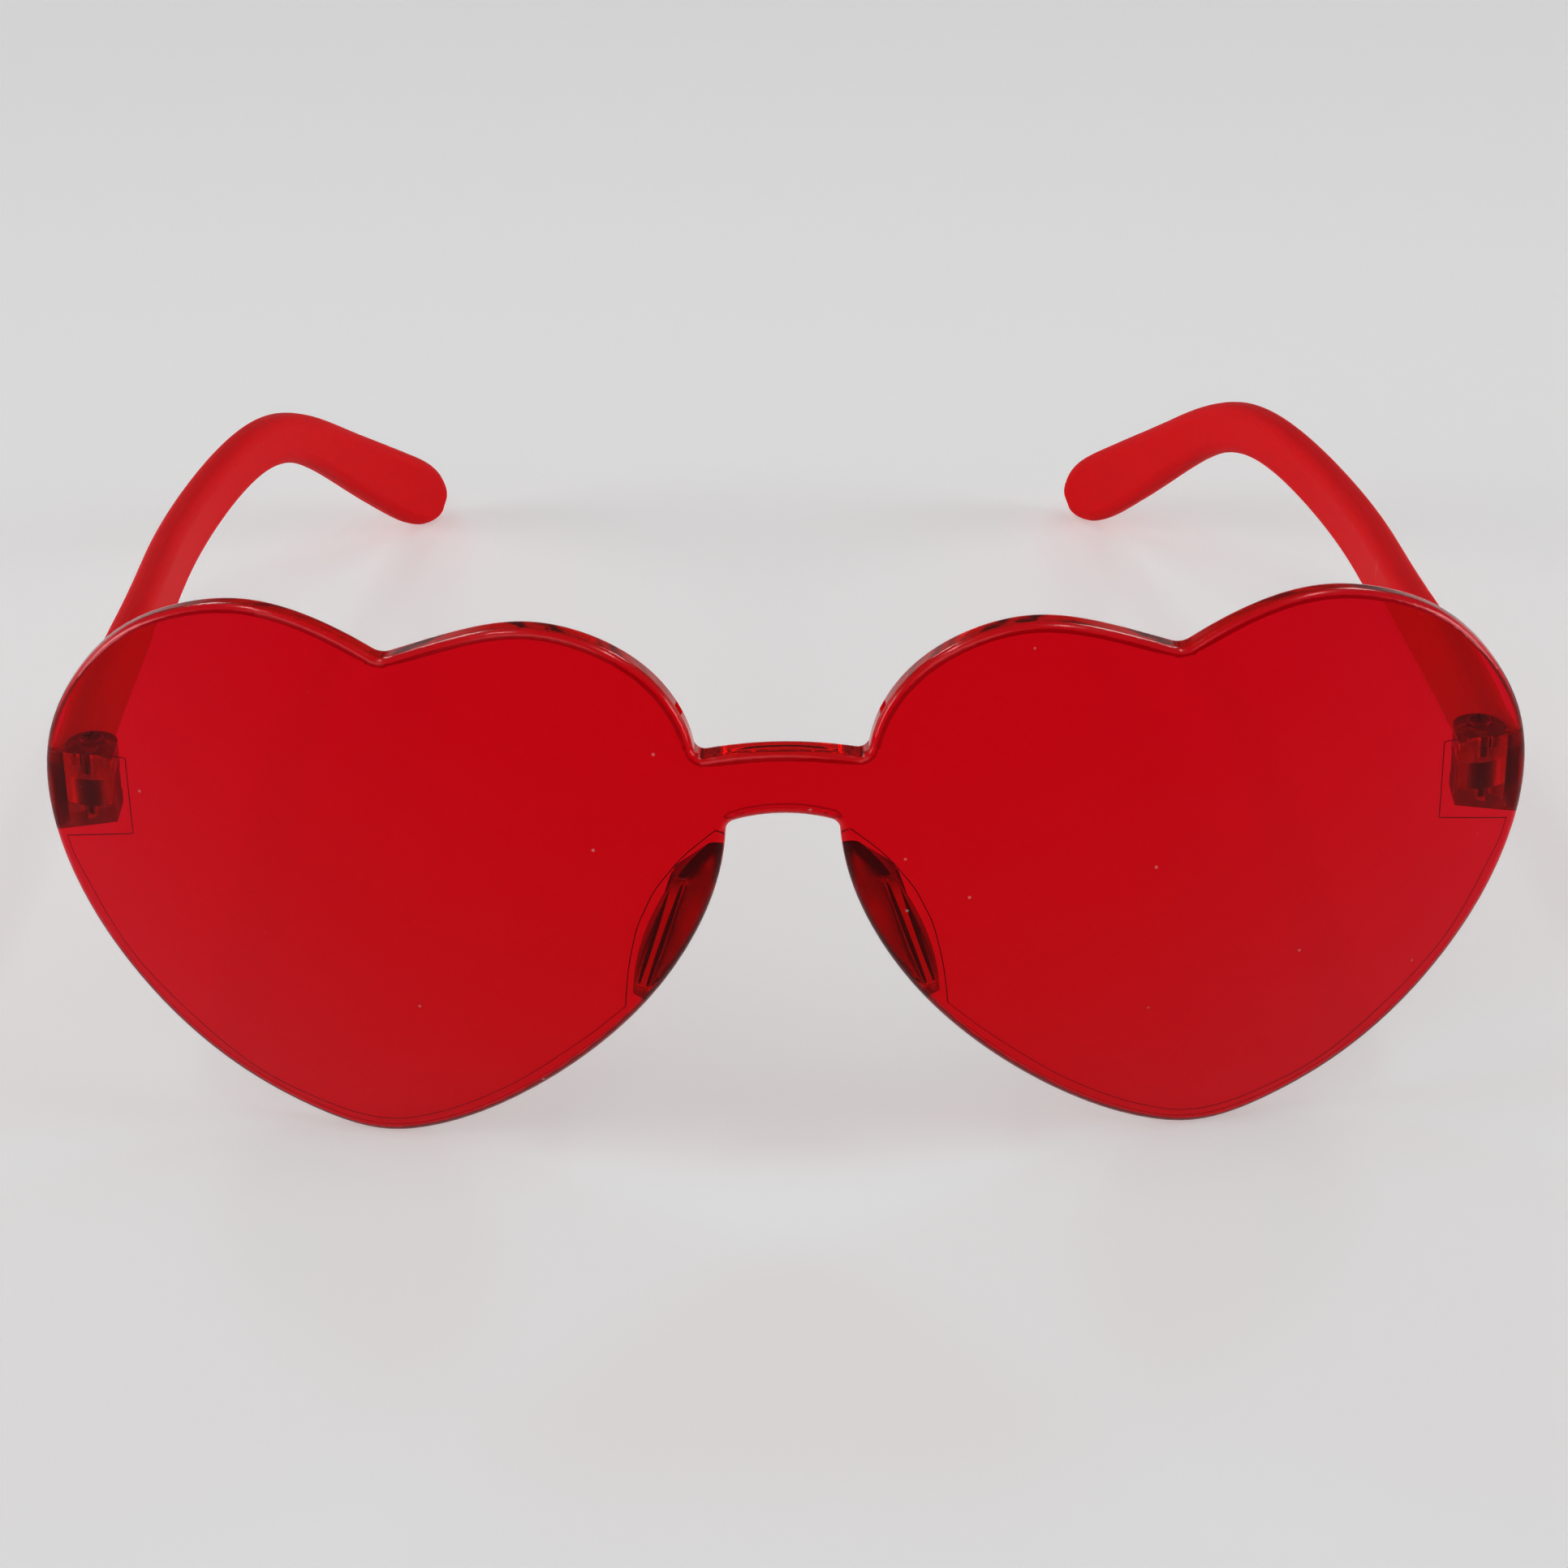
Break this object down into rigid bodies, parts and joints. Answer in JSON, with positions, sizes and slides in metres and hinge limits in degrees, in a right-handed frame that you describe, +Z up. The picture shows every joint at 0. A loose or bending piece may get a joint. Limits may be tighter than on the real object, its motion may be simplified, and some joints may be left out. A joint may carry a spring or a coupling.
{
  "type": "sunglasses",
  "caption": "Rimless heart shaped sunglasses: a one-piece transparent tinted front with moulded nose pads, and frosted temples that fold inwards on screwed hinges.",
  "frame": {"origin": "centre of the bounding box at the floor, on which the heart points and the temple tips stand", "axes": "+Z up, the front faces -Y and the temples run back to +Y, the wearer's left is +X"},
  "size_m": [0.148, 0.1534, 0.0586],
  "materials": {
    "tinted_lens": "polished transparent red plastic",
    "frosted_temple": "frosted translucent red plastic",
    "screw_steel": "plated, dulled in the cross slot"
  },
  "bodies": {
    "front": {"lens_front": "tinted_lens", "left_hinge_screw": "screw_steel", "right_hinge_screw": "screw_steel"},
    "left_temple": {"left_temple": "frosted_temple"},
    "right_temple": {"right_temple": "frosted_temple"}
  },
  "joints": [
    {"name": "left_temple_fold", "type": "hinge", "parent": "front", "child": "left_temple", "pos_m": [0.0691, -0.05753, 0.03516], "axis": [0, 0.0535, 0.9986], "range_deg": [-4.5, 76.5]},
    {"name": "right_temple_fold", "type": "hinge", "parent": "front", "child": "right_temple", "pos_m": [-0.0691, -0.05753, 0.03516], "axis": [0, -0.0535, -0.9986], "range_deg": [0, 66]}
  ]
}
